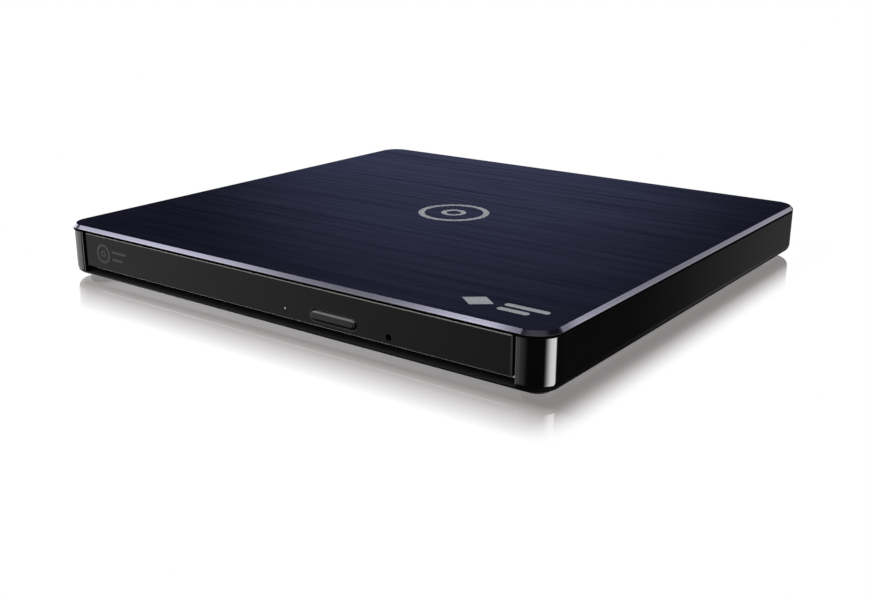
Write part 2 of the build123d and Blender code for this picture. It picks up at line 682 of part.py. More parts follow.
with BuildPart() as rod_clips:
    with BuildSketch(traverse.offset(clip_bottom)):
        with Locations(*[(u, v) for u in (rod_u[0] + 1.5, rod_u[1] - 1.5) for v in (-rod_v, rod_v)]):
            Rectangle(2.6, 3.0)
    extrude(amount=deck_bottom - clip_bottom)
    for v in (-rod_v, rod_v):
        rod((rod_u[0] - 2, rod_u[1] + 2), v, rod_radius, mode=Mode.SUBTRACT)

with BuildPart() as guide_rods:
    for v in (-rod_v, rod_v):
        rod(rod_u, v, rod_radius)

with BuildPart() as damper_grommets:
    pillars(damper_points, 3.0, (damper_bottom, grommet_top), traverse)
    with BuildSketch(traverse.offset(ear_z[0] - 0.02)):
        with Locations(*damper_points):
            Circle(3.2)
            Circle(2.3, mode=Mode.SUBTRACT)
    extrude(amount=ear_z[1] - ear_z[0] + 0.04, mode=Mode.SUBTRACT)
    pillars(damper_points, 1.25, (damper_bottom, grommet_top), traverse, mode=Mode.SUBTRACT)

with BuildPart() as damper_screws:
    pillars(damper_points, 2.4, (4.25, damper_bottom), traverse)
    pillars(damper_points, 0.58, (damper_bottom, 6.5), traverse)

# ---- spindle motor
base_z = (4.6, 5.1)
standoffs = [(0.0, -15.5), (0.0, 15.5), (-14.3, 0.0)]
bearing_radius = 2.6
bearing_z = (base_z[1], 7.2)
shaft_radius = 1.0
with BuildPart() as spindle_base:
    with BuildSketch(traverse.offset(base_z[0])):
        Circle(12.5)
        with Locations(*standoffs):
            Circle(1.9)
        make_hull()
    extrude(amount=base_z[1] - base_z[0])
    pillars(standoffs, 1.3, (base_z[1], deck_bottom), traverse)

with BuildPart() as spindle_bearing:
    pillars([(0, 0)], bearing_radius, bearing_z, traverse)
    pillars([(0, 0)], shaft_radius + 0.03, bearing_z, traverse, mode=Mode.SUBTRACT)

pole_count = 9
core_z = (5.9, 6.6)
coil_overhang = 0.55
with BuildPart() as stator_core:
    with BuildSketch(traverse.offset(core_z[0])):
        Circle(4.6)
        with PolarLocations(7.1, pole_count):
            Rectangle(6.2, 1.5)
        with PolarLocations(9.9, pole_count):
            Rectangle(0.7, 5.0)
        Circle(bearing_radius, mode=Mode.SUBTRACT)
    extrude(amount=core_z[1] - core_z[0])
with BuildPart() as stator_coils:
    with BuildSketch(traverse.offset(core_z[0] - coil_overhang)):
        with PolarLocations(7.3, pole_count):
            Rectangle(4.0, 2.9)
    extrude(amount=core_z[1] - core_z[0] + 2 * coil_overhang)
    with BuildSketch(traverse.offset(core_z[0] - 0.02)):
        with PolarLocations(7.3, pole_count):
            Rectangle(6.4, 1.56)
    extrude(amount=core_z[1] - core_z[0] + 0.04, mode=Mode.SUBTRACT)

rotor_z = (5.35, 7.9)
rotor_radius = 12.5
rotor_sheet = 0.6
magnet_z = (rotor_z[0] + 0.1, 7.3)
with BuildPart() as rotor_can:
    pillars([(0, 0)], rotor_radius, rotor_z, traverse)
    inside_z = (rotor_z[0], rotor_z[1] - 0.45)
    pillars([(0, 0)], rotor_radius - rotor_sheet, inside_z, traverse, mode=Mode.SUBTRACT)
    pillars([(0, 0)], shaft_radius, rotor_z, traverse, mode=Mode.SUBTRACT)
with BuildPart() as rotor_magnet:
    pillars([(0, 0)], rotor_radius - rotor_sheet, magnet_z, traverse)
    pillars([(0, 0)], 11.0, magnet_z, traverse, mode=Mode.SUBTRACT)
shaft_top = disc_bottom + 1.3
with BuildPart() as spindle_shaft:
    pillars([(0, 0)], shaft_radius, (base_z[1] + 0.05, shaft_top), traverse)

table_top = rotor_z[1] + 0.6
table_radius = 14.0
hub_height = 2.5
slot_z = (table_top + 1.0, table_top + 2.1)
jaw_z = (slot_z[0] + 0.1, slot_z[1] - 0.1)
nose_bottom = disc_bottom + 1.25
with BuildPart() as turntable:
    pillars([(0, 0)], table_radius, (rotor_z[1], table_top), traverse)
    pillars([(0, 0)], hub_radius, (table_top, table_top + hub_height), traverse)
    chamfer(turntable.faces().sort_by(Axis.Z)[-1].edges(), 0.7)
    pillars([(0, 0)], shaft_radius, (rotor_z[1], shaft_top), traverse, mode=Mode.SUBTRACT)
    with BuildSketch(traverse.offset(slot_z[0])):
        with PolarLocations(5.6, 3, start_angle=90):
            Rectangle(5.0, 3.2)
    extrude(amount=slot_z[1] - slot_z[0], mode=Mode.SUBTRACT)

with BuildPart() as friction_ring:
    with BuildSketch(traverse.offset(table_top)):
        Circle(13.6)
        Circle(9.8, mode=Mode.SUBTRACT)
    extrude(amount=disc_bottom - table_top)


def chuck_jaw(angle):
    """One sprung jaw in the hub: a slider whose nose stands out over the disc's inner rim."""
    jaw_plane = traverse.rotated((0, 0, angle))
    with BuildPart() as jaw:
        with BuildSketch(jaw_plane.offset(jaw_z[0])):
            with Locations((5.9, 0)):
                Rectangle(2.6, 2.9)
        extrude(amount=jaw_z[1] - jaw_z[0])
        with BuildSketch(jaw_plane.offset(nose_bottom)):
            with Locations((6.1, 0)):
                Rectangle(3.0, 2.9)
        extrude(amount=jaw_z[1] - nose_bottom)
    return jaw


jaw_1 = chuck_jaw(90)
jaw_2 = chuck_jaw(210)
jaw_3 = chuck_jaw(330)

# ---- sled motor and lead screw
motor_u = (4.0, 14.0)
motor_half = deck_bottom - rod_z
with BuildPart() as sled_motor:
    with BuildSketch(rod_plane(motor_u[0], screw_v)):
        Circle(3.2)
        Rectangle(8, 2 * motor_half, mode=Mode.INTERSECT)
    extrude(amount=motor_u[1] - motor_u[0])
    rod((motor_u[1] - 3, motor_u[1]), screw_v, journal_radius + journal_fit, mode=Mode.SUBTRACT)

groove_radius = 0.5
follower_radius = 0.22
with BuildPart() as lead_screw:
    # a right-handed groove that faces the pickup's follower once a turn
    thread_plane = rod_plane(thread_start, screw_v)
    with BuildLine():
        Line(thread_plane.origin, rod_plane(thread_end, screw_v).origin)
    with BuildLine(mode=Mode.PRIVATE) as twist:
        Helix(screw_pitch, thread_end - thread_start, screw_radius, thread_plane.origin, u_dir)
    with BuildSketch(thread_plane):
        Circle(screw_radius)
        with Locations((-screw_radius, 0)):
            Circle(groove_radius, mode=Mode.SUBTRACT)
    sweep(binormal=twist.edges()[0])
    rod((thread_start - 1.2, thread_start), screw_v, screw_radius)
    rod((motor_u[1] - 2.6, thread_end + 1.5), screw_v, journal_radius)

# ================================================================ the pickup

body_u = (lens_distance - 8.0, lens_distance + 6.5)
bush_u = (lens_distance - 6.5, lens_distance + 3.0)
body_z = (4.5, deck_bottom - 0.15)
body_top = 8.0
bush_v = 17.2
rod_slip = 0.04
with BuildPart() as pickup_body:
    deck_block(body_u, (-12.5, 12.5), body_z)
    deck_block(bush_u, (-bush_v, bush_v), body_z)
    deck_block(body_u, (-12.0, 11.5), (body_z[1], body_top), corner=1.5)
    rod(body_u, -rod_v, rod_radius + rod_slip, mode=Mode.SUBTRACT)
    # the other side is a fork open outwards
    fork_z = (rod_z - rod_radius - rod_slip, rod_z + rod_radius + rod_slip)
    deck_block(body_u, (rod_v - rod_radius - 0.3, bush_v), fork_z, mode=Mode.SUBTRACT)
    # pocket for the lens actuator
    deck_block((lens_distance - 5.6, lens_distance + 5.2), (-8.5, 8.5), (6.0, body_top), mode=Mode.SUBTRACT)

with BuildPart() as pickup_shield:
    deck_block((body_u[0] + 0.3, body_u[1] - 0.3), (-11.7, 11.2), (body_top, body_top + 0.2), corner=1.3)
    opening_u = (lens_distance - 5.0, lens_distance + 4.6)
    deck_block(opening_u, (-6.6, 6.6), (body_top, body_top + 0.2), corner=1.0, mode=Mode.SUBTRACT)

with BuildPart() as actuator_magnets:
    for u_low in (lens_distance - 5.3, lens_distance + 3.5):
        deck_block((u_low, u_low + 1.3), (-5.5, 5.5), (6.0, 7.8))

lens_points = [(lens_distance, -2.9), (lens_distance, 2.9)]
lens_radius = 1.95
holder_z = (6.7, 8.1)
lens_seat = 7.25
with BuildPart() as lens_holder:
    deck_block((lens_distance - 3.3, lens_distance + 3.0), (-5.9, 5.9), holder_z, corner=0.8)
    pillars(lens_points, lens_radius, (lens_seat, holder_z[1]), traverse, mode=Mode.SUBTRACT)
    pillars(lens_points, 1.6, (holder_z[0], lens_seat), traverse, mode=Mode.SUBTRACT)

with BuildPart() as objective_lenses:
    pillars(lens_points, lens_radius, (lens_seat, holder_z[1] + 0.1), traverse)
    fillet(objective_lenses.faces().filter_by(Axis.Z).group_by(Axis.Z)[-1].edges(), 0.6)

with BuildPart() as screw_follower:
    deck_block((lens_distance - 2.0, lens_distance + 2.0), (bush_v, bush_v + 1.2), (4.7, 6.7))
    pin_plane = Plane(
        origin=traverse.from_local_coords((lens_distance, bush_v + 1.0, rod_z)), x_dir=u_dir, z_dir=v_dir
    )
    with BuildSketch(pin_plane):
        Circle(follower_radius)
    extrude(amount=screw_v - screw_radius + follower_radius - bush_v - 1.0)

# ================================================================ write every piece

pieces = {
    "top_plate": top_plate,
    "upper_case": upper_case,
    "base_cover": base_cover,
    "rubber_feet": rubber_feet,
    "case_screws": case_screws,
    "bridge_board": bridge_board,
    "bridge_connector": bridge_connector,
    "usb_shell": usb_shell,
    "usb_insulator": usb_insulator,
    "usb_contacts": usb_contacts,
    "chassis_pan": chassis_pan,
    "drive_cover": drive_cover,
    "cover_screws": cover_screws,
    "drive_connector": drive_connector,
    "rail_guide_left": rail_guide_left,
    "rail_guide_right": rail_guide_right,
    "rail_left": rail_left,
    "rail_right": rail_right,
    "tray": tray,
    "bezel": bezel,
    "eject_button": eject_button,
    "light_pipe": light_pipe,
    "front_board": front_board,
    "eject_switch": eject_switch,
    "status_led": status_led,
    "latch_lever": latch_lever,
    "solenoid_body": solenoid_body,
    "solenoid_plunger": solenoid_plunger,
    "ejector_rod": ejector_rod,
    "ejector_spring": ejector_spring,
    "main_board": main_board,
    "flat_cable": flat_cable,
    "tray_underside": tray_underside,
    "underside_screws": underside_screws,
    "traverse_deck": traverse_deck,
    "traverse_cover": traverse_cover,
    "rod_clips": rod_clips,
    "guide_rods": guide_rods,
    "damper_grommets": damper_grommets,
    "damper_screws": damper_screws,
    "spindle_base": spindle_base,
    "spindle_bearing": spindle_bearing,
    "stator_core": stator_core,
    "stator_coils": stator_coils,
    "rotor_can": rotor_can,
    "rotor_magnet": rotor_magnet,
    "spindle_shaft": spindle_shaft,
    "turntable": turntable,
    "friction_ring": friction_ring,
    "jaw_1": jaw_1,
    "jaw_2": jaw_2,
    "jaw_3": jaw_3,
    "sled_motor": sled_motor,
    "lead_screw": lead_screw,
    "pickup_body": pickup_body,
    "pickup_shield": pickup_shield,
    "actuator_magnets": actuator_magnets,
    "lens_holder": lens_holder,
    "objective_lenses": objective_lenses,
    "screw_follower": screw_follower,
}
os.makedirs("parts", exist_ok=True)
for name, piece in pieces.items():
    piece.part.label = name
    export_step(piece.part, f"parts/{name}.step")
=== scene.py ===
"""Looks for the slim external optical drive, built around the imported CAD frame.

Metres, with the frame's axes: X to the right, Y to the back, Z up.
"""

from math import cos, pi, radians, sin

import bmesh
import bpy
from mathutils import Matrix, Vector


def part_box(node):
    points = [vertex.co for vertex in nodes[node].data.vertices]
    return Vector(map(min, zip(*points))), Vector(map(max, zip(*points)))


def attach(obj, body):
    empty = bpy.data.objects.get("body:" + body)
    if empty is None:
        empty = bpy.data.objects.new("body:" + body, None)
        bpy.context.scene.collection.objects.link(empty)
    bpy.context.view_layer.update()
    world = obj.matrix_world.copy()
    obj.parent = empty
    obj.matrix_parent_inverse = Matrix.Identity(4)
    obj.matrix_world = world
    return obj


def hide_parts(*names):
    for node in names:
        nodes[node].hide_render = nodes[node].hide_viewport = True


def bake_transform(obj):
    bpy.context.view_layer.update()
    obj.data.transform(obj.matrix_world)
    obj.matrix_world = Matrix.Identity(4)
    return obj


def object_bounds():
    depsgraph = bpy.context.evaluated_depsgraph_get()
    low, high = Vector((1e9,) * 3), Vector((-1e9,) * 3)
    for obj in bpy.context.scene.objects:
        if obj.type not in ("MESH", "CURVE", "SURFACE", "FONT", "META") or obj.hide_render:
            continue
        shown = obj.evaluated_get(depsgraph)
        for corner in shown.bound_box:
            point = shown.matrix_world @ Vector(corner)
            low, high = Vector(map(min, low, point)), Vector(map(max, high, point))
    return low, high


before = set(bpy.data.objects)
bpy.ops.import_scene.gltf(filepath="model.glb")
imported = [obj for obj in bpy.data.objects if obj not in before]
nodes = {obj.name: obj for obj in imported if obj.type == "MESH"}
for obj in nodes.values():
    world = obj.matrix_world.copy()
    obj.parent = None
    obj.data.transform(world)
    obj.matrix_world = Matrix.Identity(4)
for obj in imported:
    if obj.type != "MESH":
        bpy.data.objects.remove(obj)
cad_low, cad_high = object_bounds()
MM = 0.001
INK = 0.012 * MM
X = Vector((1, 0, 0))
Y = Vector((0, 1, 0))
Z = Vector((0, 0, 1))


# ============================================================ node trees


class Graph:
    """A node tree with short calls for the nodes that the finishes share."""

    def __init__(self, tree):
        self.tree = tree

    def node(self, kind, **settings):
        made = self.tree.nodes.new(kind)
        for key, value in settings.items():
            setattr(made, key, value)
        return made

    def feed(self, socket, value):
        """Links a socket to value, or sets it if value is a plain number or colour."""
        if isinstance(value, bpy.types.NodeSocket):
            self.tree.links.new(value, socket)
        elif isinstance(value, (tuple, list)) and len(value) == 3 and socket.type == "RGBA":
            socket.default_value = (*value, 1.0)
        else:
            socket.default_value = value

    def math(self, operation, *values):
        made = self.node("ShaderNodeMath", operation=operation)
        for socket, value in zip(made.inputs, values):
            self.feed(socket, value)
        return made.outputs[0]

    def parts(self, vector):
        """The outputs X, Y and Z of a vector."""
        made = self.node("ShaderNodeSeparateXYZ")
        self.feed(made.inputs[0], vector)
        return made.outputs

    def add_shaders(self, first, second):
        made = self.node("ShaderNodeAddShader")
        self.feed(made.inputs[0], first)
        self.feed(made.inputs[1], second)
        return made.outputs[0]

    def dot(self, vector, direction):
        made = self.node("ShaderNodeVectorMath", operation="DOT_PRODUCT")
        self.feed(made.inputs[0], vector)
        self.feed(made.inputs[1], direction)
        return made.outputs["Value"]

    def step(self, value, low, high, from_low=0.0, from_high=1.0):
        """A smooth ramp: low up to from_low, high from from_high on."""
        made = self.node("ShaderNodeMapRange", interpolation_type="SMOOTHSTEP")
        self.feed(made.inputs["Value"], value)
        self.feed(made.inputs["From Min"], from_low)
        self.feed(made.inputs["From Max"], from_high)
        self.feed(made.inputs["To Min"], low)
        self.feed(made.inputs["To Max"], high)
        return made.outputs["Result"]

    def mix(self, factor, first, second):
        made = self.node("ShaderNodeMix", data_type="RGBA")
        self.feed(made.inputs["Factor"], factor)
        self.feed(made.inputs[6], first)
        self.feed(made.inputs[7], second)
        return made.outputs[2]

    def place(self, scale=(1, 1, 1), turn=0.0):
        """Object coordinates, stretched and turned about Z."""
        coordinates = self.node("ShaderNodeTexCoord").outputs["Object"]
        mapping = self.node("ShaderNodeMapping", vector_type="TEXTURE")
        self.feed(mapping.inputs["Vector"], coordinates)
        mapping.inputs["Rotation"].default_value = (0, 0, turn)
        stretched = self.node("ShaderNodeVectorMath", operation="MULTIPLY")
        self.feed(stretched.inputs[0], mapping.outputs[0])
        self.feed(stretched.inputs[1], scale)
        return stretched.outputs[0]

    def noise(self, scale, stretch=(1, 1, 1), detail=2.0):
        made = self.node("ShaderNodeTexNoise")
        self.feed(made.inputs["Vector"], self.place(stretch))
        made.inputs["Scale"].default_value = scale
        made.inputs["Detail"].default_value = detail
        return made.outputs["Fac"]

    def cells(self, scale):
        """Distance to the nearest of many scattered points."""
        made = self.node("ShaderNodeTexVoronoi", feature="F1")
        self.feed(made.inputs["Vector"], self.place())
        made.inputs["Scale"].default_value = scale
        return made.outputs["Distance"]

    def bump(self, height, distance, strength=1.0):
        made = self.node("ShaderNodeBump")
        self.feed(made.inputs["Height"], height)
        made.inputs["Distance"].default_value = distance
        made.inputs["Strength"].default_value = strength
        return made.outputs["Normal"]


class Finish(Graph):
    """A material with one Principled surface."""

    def __init__(self, name, **inputs):
        self.material = bpy.data.materials.new(name)
        self.material.use_nodes = True
        super().__init__(self.material.node_tree)
        self.surface = self.tree.nodes["Principled BSDF"]
        self.set(**inputs)

    def set(self, **inputs):
        for name, value in inputs.items():
            self.feed(self.surface.inputs[name.replace("_", " ")], value)

    def normal(self):
        return self.node("ShaderNodeNewGeometry").outputs["Normal"]

    def normal_z(self):
        return self.dot(self.normal(), (0, 0, 1))

    def edge_wear(self, radius):
        """1 on convex edges, 0 on flats, from the difference between true and rounded normals."""
        rounded = self.node("ShaderNodeBevel", samples=4)
        rounded.inputs["Radius"].default_value = radius
        alike = self.dot(rounded.outputs[0], self.normal())
        return self.step(alike, 1.0, 0.0, 0.85, 0.995)


# ============================================================ finishes


def brushed_top():
    """Dark blue anodised plate with hairlines along X and a bright cut edge."""
    finish = Finish("brushed_top", Specular_IOR_Level=0.0)
    fine = finish.noise(1.0, (45, 5200, 0), detail=3.0)
    coarse = finish.noise(1.0, (14, 900, 0), detail=4.0)
    streak = finish.noise(1.0, (9, 330, 0), detail=2.0)
    cloud = finish.noise(9.0, (1, 1, 0), detail=1.0)
    lines = finish.math("ADD", finish.math("MULTIPLY", fine, 0.4), finish.math("MULTIPLY", coarse, 0.35))
    lines = finish.math("ADD", lines, finish.math("MULTIPLY", streak, 0.25))
    lit = finish.step(lines, 0.0, 1.0, 0.36, 0.62)
    base = finish.mix(lit, (0.0030, 0.0026, 0.0060), (0.0092, 0.0086, 0.0165))
    base = finish.mix(finish.step(cloud, 0.0, 0.4, 0.35, 0.7), base, (0.0065, 0.0072, 0.0145))
    flat = finish.step(finish.normal_z(), 0.0, 1.0, 0.86, 0.98)
    upright = finish.step(finish.normal_z(), 1.0, 0.0, 0.05, 0.25)
    low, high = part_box("top_plate")
    height = finish.parts(finish.place())["Z"]
    ridge = finish.step(height, 1.0, 0.0, high.z - 0.75 * MM, high.z - 0.55 * MM)
    cut = finish.mix(finish.noise(1.0, (60, 60, 4000)), (0.34, 0.33, 0.43), (0.45, 0.44, 0.55))
    cut = finish.mix(finish.math("MULTIPLY", ridge, 0.35), cut, (0.75, 0.74, 0.82))
    # painted shade: both cuts run out darker towards the front right corner
    corner = finish.node("ShaderNodeVectorMath", operation="DISTANCE")
    finish.feed(corner.inputs[0], finish.place())
    finish.feed(corner.inputs[1], (high.x, low.y, high.z))
    near = finish.step(corner.outputs["Value"], 0.85, 0.0, 6.5 * MM, 13.5 * MM)
    cut = finish.mix(near, cut, (0.15, 0.145, 0.20))
    cut = finish.mix(upright, cut, (0.05, 0.05, 0.06))
    finish.set(
        Base_Color=finish.mix(flat, cut, base),
        Metallic=finish.math("SUBTRACT", finish.step(flat, 1.0, 0.0), upright),
        Roughness=finish.mix(flat, (0.17, 0.17, 0.17), (0.5, 0.5, 0.5)),
        Normal=finish.bump(lines, 0.00002, 0.35),
    )
    # the anodised film's own sheen: blue, and only strong at a low angle
    sheen = finish.node("ShaderNodeBsdfAnisotropic")
    facing = finish.node("ShaderNodeLayerWeight")
    facing.inputs["Blend"].default_value = 0.5
    graze = finish.math("POWER", facing.outputs["Facing"], 5.0)
    amount = finish.math("MULTIPLY", finish.math("MULTIPLY", graze, flat), finish.step(lit, 0.7, 1.25))
    tint = finish.node("ShaderNodeVectorMath", operation="SCALE")
    finish.feed(tint.inputs[0], (0.0098, 0.0110, 0.0215))
    finish.feed(tint.inputs["Scale"], amount)
    finish.feed(sheen.inputs["Color"], tint.outputs[0])
    sheen.inputs["Roughness"].default_value = 0.15
    both = finish.add_shaders(finish.surface.outputs[0], sheen.outputs[0])
    finish.feed(finish.tree.nodes["Material Output"].inputs["Surface"], both)
    return finish.material


def gloss_black():
    """Piano-black moulding with very faint wipe marks, and a matt shadow line under the top plate."""
    finish = Finish("gloss_case")
    smear = finish.noise(60.0, (1, 1, 2.5), detail=3.0)
    ripple = finish.noise(25.0, detail=1.0)
    height = finish.parts(finish.place())["Z"]
    plate_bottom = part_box("top_plate")[0].z
    groove = finish.step(height, 0.0, 1.0, plate_bottom - 0.6 * MM, plate_bottom - 0.5 * MM)
    gloss = finish.step(smear, 0.05, 0.11, 0.3, 0.8)
    finish.set(
        Base_Color=finish.mix(smear, (0.0010, 0.0010, 0.0011), (0.0022, 0.0022, 0.0025)),
        Roughness=finish.math("MAXIMUM", gloss, finish.math("MULTIPLY", groove, 0.9)),
        Specular_IOR_Level=finish.step(groove, 0.5, 0.0),
        Normal=finish.bump(ripple, 0.00012, 0.12),
    )
    return finish.material


def moulded(name, dark, light, roughness, edge=None):
    """Moulded plastic with a fine spark-eroded grain and, if edge is a colour, slightly rubbed edges."""
    finish = Finish(name)
    texture = finish.noise(9000.0)
    patch = finish.noise(45.0)
    colour = finish.mix(patch, dark, light)
    if edge:
        colour = finish.mix(finish.edge_wear(0.0002), colour, edge)
    finish.set(
        Base_Color=colour,
        Roughness=finish.step(texture, roughness - 0.07, roughness + 0.09, 0.3, 0.7),
        Normal=finish.bump(texture, 0.00001, 0.5),
    )
    return finish.material


def metal(name, dark, light, roughness=0.3, stretch=(30, 1200, 1200), depth=0.00001):
    """Sheet or ground metal with a rolled grain and fine scratches."""
    finish = Finish(name, Metallic=1.0)
    grain = finish.noise(1.0, stretch, detail=3.0)
    stain = finish.noise(70.0, detail=3.0)
    finish.set(
        Base_Color=finish.mix(grain, dark, finish.mix(stain, light, dark)),
        Roughness=finish.step(grain, roughness - 0.08, roughness + 0.14, 0.3, 0.7),
        Normal=finish.bump(grain, depth, 0.4),
    )
    return finish.material


def rubber(name, colour):
    """Matt rubber with a dusty bloom."""
    finish = Finish(name, Specular_IOR_Level=0.3, Sheen_Weight=0.15)
    bloom = finish.noise(900.0, detail=4.0)
    finish.set(
        Base_Color=finish.mix(bloom, colour, tuple(1.9 * c + 0.01 for c in colour)),
        Roughness=finish.step(bloom, 0.7, 0.95, 0.3, 0.7),
        Normal=finish.bump(bloom, 0.00003, 0.5),
    )
    return finish.material


def clear(name, tint):
    """Clear moulding with a faint haze."""
    finish = Finish(name, Transmission_Weight=0.8, IOR=1.49, Coat_Weight=0.3)
    haze = finish.noise(300.0)
    finish.set(
        Base_Color=finish.mix(haze, tint, (1, 1, 1)),
        Roughness=finish.step(haze, 0.05, 0.15),
    )
    return finish.material


def circuit_board():
    """Green solder mask with traces and vias; the tops of the main board's parts are chip black."""
    finish = Finish("circuit_board")
    traces = finish.node("ShaderNodeTexBrick", offset=0.35, squash=0.6, squash_frequency=3)
    finish.feed(traces.inputs["Vector"], finish.place((1, 1, 0), turn=radians(45)))
    traces.inputs["Scale"].default_value = 420.0
    traces.inputs["Mortar Size"].default_value = 0.045
    vias = finish.math("LESS_THAN", finish.cells(520.0), 0.16)
    mask = finish.mix(traces.outputs["Fac"], (0.010, 0.085, 0.040), (0.022, 0.165, 0.075))
    mask = finish.mix(vias, mask, (0.62, 0.50, 0.26))
    grain = finish.noise(7000.0)
    flat = finish.math("GREATER_THAN", finish.normal_z(), 0.5)
    place = finish.parts(finish.place())
    chip_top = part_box("main_board")[1].z
    high = finish.math("GREATER_THAN", place["Z"], chip_top - 0.1 * MM)
    behind = finish.math("GREATER_THAN", place["Y"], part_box("bridge_board")[0].y)
    chip = finish.math("MULTIPLY", high, finish.math("SUBTRACT", 1.0, behind))
    chip_body = finish.mix(grain, (0.012, 0.012, 0.013), (0.03, 0.03, 0.032))
    laminate = finish.mix(flat, (0.20, 0.19, 0.10), mask)
    finish.set(
        Base_Color=finish.mix(chip, laminate, chip_body),
        Roughness=finish.mix(chip, (0.28, 0.28, 0.28), (0.55, 0.55, 0.55)),
        Normal=finish.bump(traces.outputs["Fac"], 0.00003, 0.4),
    )
    return finish.material


def printed(name, colour):
    """Printed ink: slightly uneven cover over a satin ground."""
    finish = Finish(name, Specular_IOR_Level=0.03)
    cover = finish.noise(5000.0, detail=3.0)
    finish.set(
        Base_Color=finish.mix(cover, tuple(0.82 * c for c in colour), colour),
        Roughness=finish.step(cover, 0.38, 0.55),
        Normal=finish.bump(cover, 0.000004, 0.4),
    )
    return finish.material


def bezel_black():
    """Satin black moulding whose bevelled edges carry a painted highlight: a lighter line, brightest along
    the top crest.
    """
    finish = Finish("bezel_plastic", Specular_IOR_Level=0.09)
    texture = finish.noise(14000.0, detail=1.0)
    cloud = finish.noise(30.0)
    normal = finish.parts(finish.normal())
    place = finish.parts(finish.place())
    low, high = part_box("bezel")
    front = finish.math("LESS_THAN", place["Y"], low.y + 0.32 * MM)
    slope = finish.math("MULTIPLY", finish.math("LESS_THAN", normal["Y"], -0.3), front)
    bevel = finish.math("MULTIPLY", finish.math("GREATER_THAN", normal["Y"], -0.95), slope)
    upward = finish.step(normal["Z"], 0.0, 1.0, 0.1, 0.7)
    crest = finish.step(place["Z"], 0.0, 1.0, high.z - 0.26 * MM, high.z - 0.16 * MM)
    # painted highlight: the bevel faces get a lighter colour, and the top crest a near white one
    crest_highlight = finish.mix(crest, (0.05, 0.048, 0.045), (0.62, 0.60, 0.57))
    rim_highlight = finish.mix(upward, (0.050, 0.049, 0.048), crest_highlight)
    body = finish.mix(cloud, (0.0034, 0.0034, 0.0034), (0.0050, 0.0050, 0.0051))
    finish.set(
        Base_Color=finish.mix(bevel, body, rim_highlight),
        Roughness=finish.step(texture, 0.26, 0.38, 0.3, 0.7),
        Normal=finish.bump(texture, 0.000003, 0.35),
    )
    return finish.material


def lip_black():
    """Satin black base whose upward edges catch a little light, painted into their colour as a highlight."""
    finish = Finish("satin_case", Specular_IOR_Level=0.12)
    texture = finish.noise(9000.0)
    patch = finish.noise(45.0)
    # painted highlight: faces turned upward get a lighter colour
    upward = finish.step(finish.normal_z(), 0.0, 1.0, 0.25, 0.8)
    body = finish.mix(patch, (0.0020, 0.0020, 0.0021), (0.0040, 0.0040, 0.0042))
    finish.set(
        Base_Color=finish.mix(upward, body, (0.036, 0.036, 0.036)),
        Roughness=finish.step(texture, 0.34, 0.48, 0.3, 0.7),
        Normal=finish.bump(texture, 0.000008, 0.4),
    )
    return finish.material


def button_gloss():
    """Glossy dark moulding whose rounded upper edge is lighter: a painted highlight in its colour."""
    finish = Finish("button_plastic", Specular_IOR_Level=0.16)
    texture = finish.noise(3000.0, detail=1.0)
    patch = finish.noise(120.0)
    # painted highlight: faces turned upward get a much lighter colour
    upward = finish.step(finish.normal_z(), 0.0, 1.0, 0.25, 0.85)
    body = finish.mix(patch, (0.0105, 0.0106, 0.0110), (0.0150, 0.0152, 0.0158))
    finish.set(
        Base_Color=finish.mix(upward, body, (0.26, 0.26, 0.265)),
        Roughness=finish.step(texture, 0.2, 0.3, 0.3, 0.7),
        Normal=finish.bump(texture, 0.000003, 0.3),
    )
    return finish.material


def lamp_window():
    """Smoked light pipe: dark, with a painted glint: a pale spot in its middle."""
    finish = Finish("clear_plastic", Specular_IOR_Level=0.2)
    low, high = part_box("light_pipe")
    place = finish.parts(finish.place())
    across = finish.math("SUBTRACT", place["X"], (low.x + high.x) / 2)
    upwards = finish.math("SUBTRACT", place["Z"], (low.z + high.z) / 2)
    squares = finish.math("ADD", finish.math("POWER", across, 2.0), finish.math("POWER", upwards, 2.0))
    # painted glint: a pale spot at the middle of the pipe's face
    painted_glint = finish.step(finish.math("SQRT", squares), 1.0, 0.0, 0.16 * MM, 0.34 * MM)
    haze = finish.noise(3000.0)
    glint_colour = finish.mix(haze, (0.30, 0.30, 0.31), (0.42, 0.42, 0.43))
    finish.set(
        Base_Color=finish.mix(painted_glint, (0.002, 0.002, 0.002), glint_colour),
        Roughness=finish.step(haze, 0.2, 0.35),
    )
    return finish.material


def cable_film():
    """White polyester strip with parallel conductors showing through."""
    finish = Finish("cable_film", Coat_Weight=0.4, Coat_Roughness=0.15)
    across = finish.parts(finish.place())["X"]
    stripe = finish.math("PINGPONG", finish.math("MULTIPLY", across, 2000.0), 0.5)
    line = finish.step(stripe, 0.0, 1.0, 0.16, 0.30)
    grain = finish.noise(2500.0)
    film = finish.mix(grain, (0.66, 0.64, 0.58), (0.74, 0.72, 0.66))
    finish.set(
        Base_Color=finish.mix(line, film, (0.47, 0.45, 0.41)),
        Roughness=finish.step(grain, 0.3, 0.42),
        Normal=finish.bump(stripe, 0.00003, 0.5),
    )
    return finish.material


def copper_winding():
    """Enamelled wire: close turns shown as ridges."""
    finish = Finish("copper_winding", Metallic=0.9, Coat_Weight=0.6)
    height = finish.parts(finish.place())["Z"]
    turns = finish.math("PINGPONG", finish.math("MULTIPLY", height, 9000.0), 0.5)
    stain = finish.noise(900.0)
    finish.set(
        Base_Color=finish.mix(stain, (0.62, 0.24, 0.09), (0.86, 0.42, 0.18)),
        Roughness=finish.step(turns, 0.2, 0.4),
        Normal=finish.bump(turns, 0.00006, 0.9),
    )
    return finish.material


# ============================================================ meshes


def new_object(name, data, material=None):
    made = bpy.data.objects.new(name, data)
    bpy.context.scene.collection.objects.link(made)
    if material:
        data.materials.append(material)
    return made


